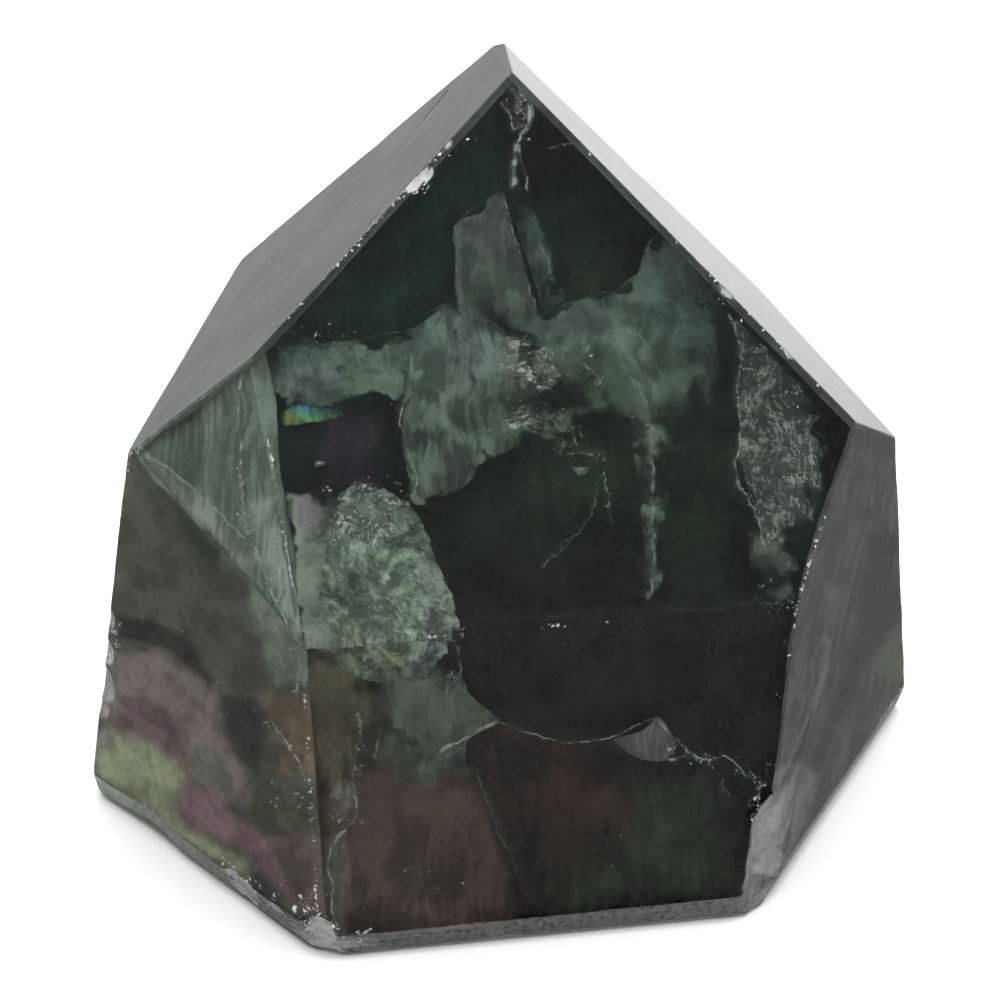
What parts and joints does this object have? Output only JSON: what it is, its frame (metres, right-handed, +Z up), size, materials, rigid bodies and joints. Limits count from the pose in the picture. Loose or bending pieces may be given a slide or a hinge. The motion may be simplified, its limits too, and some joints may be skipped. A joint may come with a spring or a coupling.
{
  "type": "fluorite point",
  "caption": "Short, chunky polished crystal point of dark green and purple banded fluorite with a faceted tip, inner veils and a flat base to stand on.",
  "frame": {"origin": "middle of the crystal's footprint box, on its flat base", "axes": "+Z up the crystal towards its tip; the wide front tip face looks towards -Y and upwards; +X is across the widest footprint"},
  "size_m": [0.0618, 0.0562, 0.0552],
  "materials": {
    "fluorite": "polished, dark and see-through, green above and purple below"
  },
  "bodies": {
    "root": {"crystal": "fluorite"}
  },
  "joints": []
}
